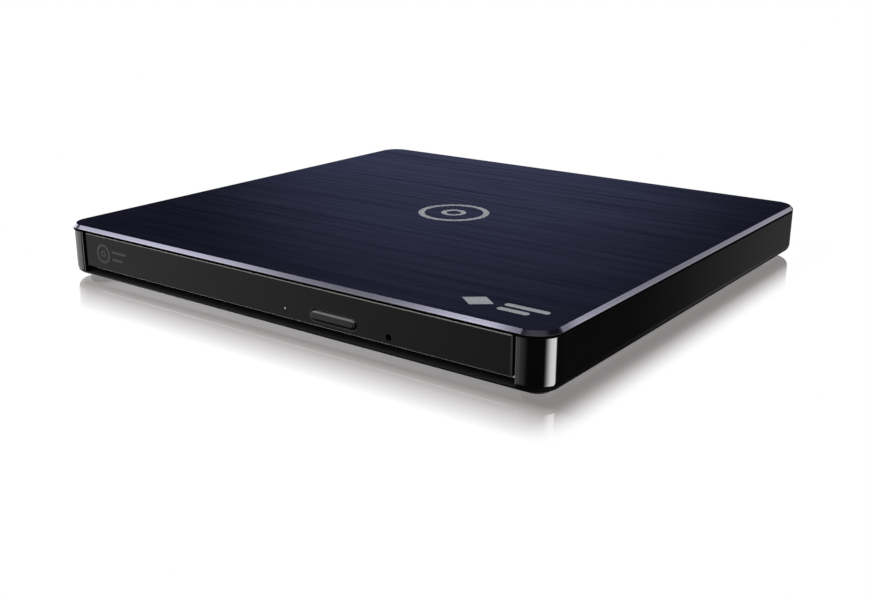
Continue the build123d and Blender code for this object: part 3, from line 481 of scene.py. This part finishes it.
def outline_slab(bm, outline, plane, thickness):
    """Adds a closed slab: the outline's (a, b) points lie on plane (origin, a axis, b axis)."""
    origin, a_axis, b_axis = plane
    out = a_axis.cross(b_axis).normalized() * thickness
    low = [bm.verts.new(origin + a_axis * a + b_axis * b) for a, b in outline]
    high = [bm.verts.new(v.co + out) for v in low]
    bm.faces.new(list(reversed(low)))
    bm.faces.new(high)
    for i in range(len(low)):
        j = (i + 1) % len(low)
        bm.faces.new((low[i], low[j], high[j], high[i]))


def ring_slab(bm, centre, outer, inner, plane, thickness, sides=96):
    """Adds a closed flat ring around centre."""
    origin, a_axis, b_axis = plane
    out = a_axis.cross(b_axis).normalized() * thickness
    loops = []
    for radius, lift in ((outer, 0), (outer, 1), (inner, 1), (inner, 0)):
        loop = []
        for i in range(sides):
            angle = 2 * pi * i / sides
            a = centre[0] + radius * cos(angle)
            b = centre[1] + radius * sin(angle)
            loop.append(bm.verts.new(origin + a_axis * a + b_axis * b + out * lift))
        loops.append(loop)
    for k in range(4):
        this, following = loops[k], loops[(k + 1) % 4]
        for i in range(sides):
            j = (i + 1) % sides
            bm.faces.new((this[i], this[j], following[j], following[i]))


def pill_outline(centre, length, height, sides=12):
    """A bar with round ends."""
    radius = height / 2
    reach = length / 2 - radius
    points = []
    for end, start in ((1, -pi / 2), (-1, pi / 2)):
        for i in range(sides + 1):
            angle = start + pi * i / sides
            points.append((centre[0] + end * reach + radius * cos(angle), centre[1] + radius * sin(angle)))
    return points


def build_mesh(name, make):
    bm = bmesh.new()
    make(bm)
    bmesh.ops.recalc_face_normals(bm, faces=bm.faces)
    mesh = bpy.data.meshes.new(name)
    bm.to_mesh(mesh)
    bm.free()
    return mesh


def printed_mark(name, make, colour, body):
    """A flat printed mark that rides on one body."""
    mark = new_object(name, build_mesh(name, make), printed("ink_" + name.split("_")[0], colour))
    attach(mark, body)


def top_marks():
    """Generic marks printed on the top plate: a plain disc pictogram, and a lozenge with two bars."""
    plane = (Vector((0, 0, cad_high.z)), X, Y)
    centre = (1.5 * MM, 1.2 * MM)
    x, y = 49.5 * MM, -58.4 * MM
    half = 3.9 * MM
    bar_height = 1.7 * MM
    bar_gap = 1.45 * MM

    def disc_pictogram(bm):
        ring_slab(bm, centre, 9.5 * MM, 7.9 * MM, plane, INK)
        ring_slab(bm, centre, 3.4 * MM, 2.0 * MM, plane, INK, sides=48)

    def lozenge(bm):
        outline_slab(bm, [(x - half, y), (x, y - half * 0.8), (x + half, y), (x, y + half * 0.8)], plane, INK)
        outline_slab(bm, pill_outline((60.4 * MM, y + bar_gap), 10.4 * MM, bar_height), plane, INK)
        outline_slab(bm, pill_outline((58.9 * MM, y - bar_gap), 7.4 * MM, bar_height), plane, INK)

    printed_mark("centre_mark", disc_pictogram, (0.098, 0.106, 0.128), "case")
    printed_mark("corner_mark", lozenge, (0.205, 0.218, 0.235), "case")


def bezel_mark():
    """A small generic disc symbol and two bars at the left end of the bezel."""
    low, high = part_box("bezel")
    plane = (Vector((0, low.y, 0)), X, Z)
    middle = (low.z + high.z) / 2 - 0.1 * MM
    centre = (-57.2 * MM, middle)
    bar_height = 0.62 * MM
    bar_gap = 0.95 * MM

    def symbol(bm):
        ring_slab(bm, centre, 2.5 * MM, 1.9 * MM, plane, INK, sides=48)
        ring_slab(bm, centre, 0.9 * MM, 0.45 * MM, plane, INK, sides=32)
        outline_slab(bm, pill_outline((-51.2 * MM, middle + bar_gap), 5.2 * MM, bar_height), plane, INK)
        outline_slab(bm, pill_outline((-51.9 * MM, middle - bar_gap), 3.8 * MM, bar_height), plane, INK)

    printed_mark("bezel_mark", symbol, (0.075, 0.076, 0.078), "tray")


def swept_mesh(name, sections, extra=None):
    """A closed mesh through loops of points, capped at both ends."""

    def sweep(bm):
        loops = [[bm.verts.new(point) for point in section] for section in sections]
        for this, following in zip(loops, loops[1:]):
            for i in range(len(this)):
                j = (i + 1) % len(this)
                bm.faces.new((this[i], this[j], following[j], following[i]))
        bm.faces.new(list(reversed(loops[0])))
        bm.faces.new(loops[-1])
        if extra:
            extra(bm)

    return build_mesh(name, sweep)


def bending_piece(piece, node):
    """Lets a piece stand for a CAD node: bakes its placement into the mesh and hides the node."""
    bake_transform(piece)
    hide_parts(node)


def ribbon_cable(material):
    """The flat cable: along the pan, round its fold and back under the tray to a tab on the board."""
    low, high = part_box("flat_cable")
    half = 0.06 * MM
    edge = -45.4 * MM
    tab_overlap = 0.2 * MM
    tab_y = 40.0 * MM
    fold_radius = (high.z - low.z) / 2 - half
    fold_y = low.y + fold_radius + half
    fold_z = (low.z + high.z) / 2
    fold_steps = 32
    end_y = 50.0 * MM
    path = [(high.y, low.z + half, 0.0, 1.0)]
    for i in range(fold_steps + 1):
        angle = pi * i / fold_steps
        away_y, away_z = -sin(angle), -cos(angle)
        path.append((fold_y + fold_radius * away_y, fold_z + fold_radius * away_z, -away_y, -away_z))
    path.append((end_y, high.z - half, 0.0, -1.0))
    sections = []
    for y, z, ny, nz in path:
        near = (y + half * ny, z + half * nz)
        far = (y - half * ny, z - half * nz)
        sections.append([(low.x, *near), (edge, *near), (edge, *far), (low.x, *far)])

    def tab(bm):
        start_x = edge - tab_overlap
        corners = [(start_x, tab_y), (high.x, tab_y), (high.x, end_y), (start_x, end_y)]
        outline_slab(bm, corners, (Vector((0, 0, high.z - 2 * half)), X, Y), 2 * half)

    cable = new_object("ribbon_cable", swept_mesh("ribbon_cable", sections, tab), material)
    bending_piece(cable, "flat_cable")


def coil_spring(material):
    """The ejector's spring, from the tray's rib to the rod's collar."""
    low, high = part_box("ejector_spring")
    wire = 0.16 * MM
    turns = 9
    around = 28
    wire_sides = 8
    centre_x, centre_z = (low.x + high.x) / 2, (low.z + high.z) / 2
    radius = (high.x - low.x) / 2 - wire
    start, end = low.y + wire, high.y - wire
    sections = []
    for i in range(turns * around + 1):
        angle = 2 * pi * i / around
        out = Vector((cos(angle), 0, sin(angle)))
        middle = Vector((centre_x, start + (end - start) * i / (turns * around), centre_z)) + radius * out
        ring = []
        for k in range(wire_sides):
            turn = 2 * pi * k / wire_sides
            ring.append(middle + wire * cos(turn) * out + wire * sin(turn) * Y)
        sections.append(ring)
    mesh = swept_mesh("coil_spring", sections)
    for polygon in mesh.polygons:
        polygon.use_smooth = True
    spring = new_object("coil_spring", mesh, material)
    bending_piece(spring, "ejector_spring")


# ============================================================ finishes onto the CAD nodes


def dress_nodes():
    """Gives every CAD node its material, and makes the two flexible pieces."""
    steel = metal("plated_steel", (0.42, 0.43, 0.43), (0.66, 0.67, 0.66))
    ground = metal("ground_steel", (0.55, 0.55, 0.56), (0.8, 0.8, 0.8), 0.16, (900, 900, 900))
    black_steel = metal("black_steel", (0.018, 0.018, 0.019), (0.045, 0.045, 0.047), 0.4)
    screw = metal("black_screw", (0.02, 0.02, 0.022), (0.05, 0.05, 0.055), 0.32, (800, 800, 800))
    alloy = metal("pickup_alloy", (0.36, 0.36, 0.37), (0.58, 0.58, 0.6), 0.42, (900, 900, 900), depth=0.00003)
    brass = metal("bearing_brass", (0.45, 0.30, 0.11), (0.72, 0.52, 0.24), 0.35, (700, 700, 700))
    gold = metal("gold", (0.72, 0.50, 0.20), (0.92, 0.72, 0.36), 0.2, (900, 900, 900))
    magnet = metal("magnet", (0.06, 0.06, 0.065), (0.14, 0.14, 0.15), 0.5, (1500, 1500, 1500))
    lamination = metal("lamination_steel", (0.10, 0.10, 0.12), (0.24, 0.24, 0.27), 0.45, (20, 20, 12000))
    rubbed = (0.04, 0.04, 0.042)
    tray_plastic = moulded("tray_plastic", (0.010, 0.010, 0.0105), (0.016, 0.016, 0.017), 0.42, rubbed)
    hub = moulded("hub_plastic", (0.016, 0.016, 0.017), (0.028, 0.028, 0.03), 0.35)
    nylon_black = moulded("nylon_black", (0.014, 0.014, 0.014), (0.026, 0.026, 0.026), 0.5)
    nylon_white = moulded("nylon_white", (0.62, 0.60, 0.54), (0.74, 0.72, 0.66), 0.45)
    socket_black = moulded("connector_black", (0.012, 0.012, 0.012), (0.024, 0.024, 0.024), 0.5)
    lens_plastic = moulded("lens_plastic", (0.02, 0.02, 0.024), (0.045, 0.045, 0.05), 0.4)
    film = cable_film()
    ribbon_cable(film)
    coil_spring(ground)
    finishes = {
        brushed_top(): ["top_plate"],
        gloss_black(): ["upper_case"],
        lip_black(): ["base_cover"],
        bezel_black(): ["bezel"],
        button_gloss(): ["eject_button"],
        tray_plastic: ["tray"],
        hub: ["turntable", "jaw_1", "jaw_2", "jaw_3"],
        nylon_black: ["rail_guide_left", "rail_guide_right", "rod_clips"],
        nylon_white: ["latch_lever", "ejector_rod", "screw_follower"],
        socket_black: ["bridge_connector", "drive_connector", "usb_insulator"],
        lens_plastic: ["lens_holder"],
        circuit_board(): ["bridge_board", "main_board", "front_board"],
        rubber("damper_rubber", (0.03, 0.03, 0.032)): ["damper_grommets", "friction_ring"],
        rubber("foot_rubber", (0.012, 0.012, 0.012)): ["rubber_feet"],
        clear("lamp_plastic", (0.82, 0.86, 0.88)): ["status_led"],
        lamp_window(): ["light_pipe"],
        clear("lens_glass", (0.45, 0.52, 0.95)): ["objective_lenses"],
        film: ["flat_cable"],
        copper_winding(): ["stator_coils"],
        steel: [
            "usb_shell", "chassis_pan", "drive_cover", "rail_left", "rail_right", "eject_switch",
            "solenoid_body", "solenoid_plunger", "tray_underside", "traverse_deck", "damper_screws",
            "spindle_base", "rotor_can", "sled_motor",
        ],
        ground: ["guide_rods", "spindle_shaft", "lead_screw", "ejector_spring"],
        black_steel: ["traverse_cover", "pickup_shield"],
        screw: ["case_screws", "cover_screws", "underside_screws"],
        alloy: ["pickup_body"],
        brass: ["spindle_bearing"],
        gold: ["usb_contacts"],
        magnet: ["rotor_magnet", "actuator_magnets"],
        lamination: ["stator_core"],
    }
    dressed = set()
    for material, names in finishes.items():
        for name in names:
            nodes[name].data.materials.clear()
            nodes[name].data.materials.append(material)
            dressed.add(name)
    assert dressed == set(nodes), sorted(set(nodes) ^ dressed)


# ============================================================ stage


def studio_world():
    """White to the camera, soft grey to diffuse light, and a dark room with light panels to reflections."""
    world = bpy.data.worlds.new("studio")
    world.use_nodes = True
    bpy.context.scene.world = world
    graph = Graph(world.node_tree)
    background = world.node_tree.nodes["Background"]
    way = graph.node("ShaderNodeTexCoord").outputs["Generated"]
    axes = graph.parts(way)
    azimuth = graph.math("DEGREES", graph.math("ARCTAN2", axes["X"], axes["Y"]))
    elevation = graph.math("DEGREES", graph.math("ARCSINE", axes["Z"]))

    def window(angle, edges):
        """1 between the middle two of four angles, fading to 0 at the outer two."""
        rise = graph.step(angle, 0.0, 1.0, edges[0], edges[1])
        fall = graph.step(angle, 1.0, 0.0, edges[2], edges[3])
        return graph.math("MULTIPLY", rise, fall)

    def strip(azimuths, elevations, strength):
        """A light panel in a window of azimuth, from +Y towards +X, and elevation."""
        both = graph.math("MULTIPLY", window(azimuth, azimuths), window(elevation, elevations))
        return graph.math("MULTIPLY", both, strength)

    def lobe(at_azimuth, at_elevation, inner, outer, strength):
        """A soft round panel, full within inner degrees and gone past outer."""
        a, e = radians(at_azimuth), radians(at_elevation)
        closeness = graph.dot(way, (sin(a) * cos(e), cos(a) * cos(e), sin(e)))
        return graph.step(closeness, 0.0, strength, cos(radians(outer)), cos(radians(inner)))

    panels = [
        # behind the drive, mirrored by the polished floor
        strip((-64, -58, -10, -4), (0, 4, 32, 40), 1.0),
        # brighter patch in the middle of it, for the sheen of the top plate
        lobe(-34, 7, 1, 16, 8.0),
        # tall panel to the left, for the front face and the left corner
        strip((-184, -122, -80, -50), (-38, -26, 16, 28), 1.55),
        strip((-92, -76, -44, -24), (-38, -28, -4, 2), 2.5),
        # lamps over the front, for the front bevel
        lobe(-108, 37, 2, 8.5, 1.25),
        lobe(-121.6, 52.3, 0.5, 3.6, 2.3),
        lobe(-116, 46, 4, 16, 0.25),
        # overhead, for the bevel of the near corner
        lobe(150, 72, 10, 36, 0.22),
        # low lamps at the back, for the right bevel and the far end of the right wall
        lobe(10, 15, 3, 22, 0.36),
        lobe(24, 29, 1, 6, 1.1),
        lobe(12, 16, 1, 6, 0.35),
        strip((2, 8, 16, 26), (-30, -22, -8, 0), 0.14),
        # narrow lamp to the right, for the near corner, and its fainter mirror image above
        strip((66, 72, 86, 118), (-40, -32, -10, -2), 13.0),
        strip((66, 72, 86, 118), (8, 12, 28, 34), 9.0),
    ]
    room = 0.02
    for light in panels:
        room = graph.math("ADD", room, light)
    path = graph.node("ShaderNodeLightPath")
    seen = graph.mix(path.outputs["Is Glossy Ray"], (0.75, 0.75, 0.77), (0, 0, 0))
    graph.feed(background.inputs["Color"], graph.mix(path.outputs["Is Camera Ray"], seen, (1, 1, 1)))
    lamps = graph.node("ShaderNodeBackground")
    graph.feed(lamps.inputs["Color"], (1, 1, 1))
    graph.feed(lamps.inputs["Strength"], graph.math("MULTIPLY", room, path.outputs["Is Glossy Ray"]))
    both = graph.add_shaders(background.outputs[0], lamps.outputs[0])
    graph.feed(world.node_tree.nodes["World Output"].inputs["Surface"], both)


def glossy_floor():
    """A white table whose polish mirrors the drive near its foot and fades out further away."""
    half = 1.6
    drop = 0.02 * MM

    def sheet(bm):
        signs = ((-1, -1), (1, -1), (1, 1), (-1, 1))
        bm.faces.new([bm.verts.new((sx * half, sy * half, -drop)) for sx, sy in signs])
        bmesh.ops.subdivide_edges(bm, edges=bm.edges, cuts=8, use_grid_fill=True)

    material = bpy.data.materials.new("white_floor")
    material.use_nodes = True
    graph = Graph(material.node_tree)
    output = material.node_tree.nodes["Material Output"]
    material.node_tree.nodes.remove(material.node_tree.nodes["Principled BSDF"])
    axes = graph.parts(graph.node("ShaderNodeNewGeometry").outputs["Position"])
    away = []
    for axis, reach in (("X", cad_high.x), ("Y", cad_high.y)):
        beyond = graph.math("SUBTRACT", graph.math("ABSOLUTE", axes[axis]), reach)
        away.append(graph.math("MAXIMUM", beyond, 0.0))
    away_x, away_y = away
    sideways = graph.step(away_x, 0.76, 0.0, 1 * MM, 10.5 * MM)
    forward = graph.math("SUBTRACT", 1.0, graph.math("DIVIDE", away_y, 15.5 * MM))
    polish = graph.math("MULTIPLY", sideways, graph.math("MAXIMUM", forward, 0.0))
    white = graph.node("ShaderNodeEmission")
    # painted reflection tint: where the floor mirrors, its white turns slightly warm
    graph.feed(white.inputs["Color"], graph.mix(polish, (1, 1, 1), (1.0, 0.93, 0.935)))
    white.inputs["Strength"].default_value = 1.0
    mirror = graph.node("ShaderNodeBsdfGlossy")
    mirror.inputs["Roughness"].default_value = 0.03
    graph.feed(mirror.inputs["Color"], (1, 1, 1))
    mixed = graph.node("ShaderNodeMixShader")
    graph.feed(mixed.inputs[0], polish)
    graph.feed(mixed.inputs[1], white.outputs[0])
    graph.feed(mixed.inputs[2], mirror.outputs[0])
    graph.feed(output.inputs["Surface"], mixed.outputs[0])
    floor = new_object("floor", build_mesh("floor", sheet), material)
    floor.visible_glossy = False


def softbox(name, place, target, size, power):
    """A large square light aimed at a point."""
    data = bpy.data.lights.new(name, "AREA")
    data.size = size
    data.energy = power
    light = new_object(name, data)
    light.location = place
    light.rotation_euler = (Vector(target) - Vector(place)).to_track_quat("-Z", "Y").to_euler()
    light.visible_glossy = False


def product_camera():
    """The camera of the product view: a little left of the near right corner, looking slightly down."""
    azimuth = radians(36.0)
    elevation = radians(17.9)
    roll = radians(0.32)
    place = Vector((169.6, -238.1, 83.8)) * MM
    data = bpy.data.cameras.new("product_camera")
    data.sensor_width = 36.0
    data.lens = 46.2
    data.clip_start = 0.01
    data.clip_end = 10.0
    camera = new_object("product_camera", data)
    back = Vector((sin(azimuth) * cos(elevation), -cos(azimuth) * cos(elevation), sin(elevation)))
    right = Vector((cos(azimuth), sin(azimuth), 0))
    up = back.cross(right)
    turned = Matrix((right, up, back)).transposed() @ Matrix.Rotation(roll, 3, "Z")
    camera.matrix_world = Matrix.Translation(place) @ turned.to_4x4()
    bpy.context.scene.camera = camera


dress_nodes()
top_marks()
bezel_mark()
studio_world()
glossy_floor()
softbox("key", (-0.35, -0.45, 0.55), (0, 0, 0), 0.5, 1.0)
softbox("fill", (0.45, 0.35, 0.5), (0, 0, 0), 0.6, 0.6)
product_camera()
bpy.context.scene.view_settings.view_transform = "Standard"
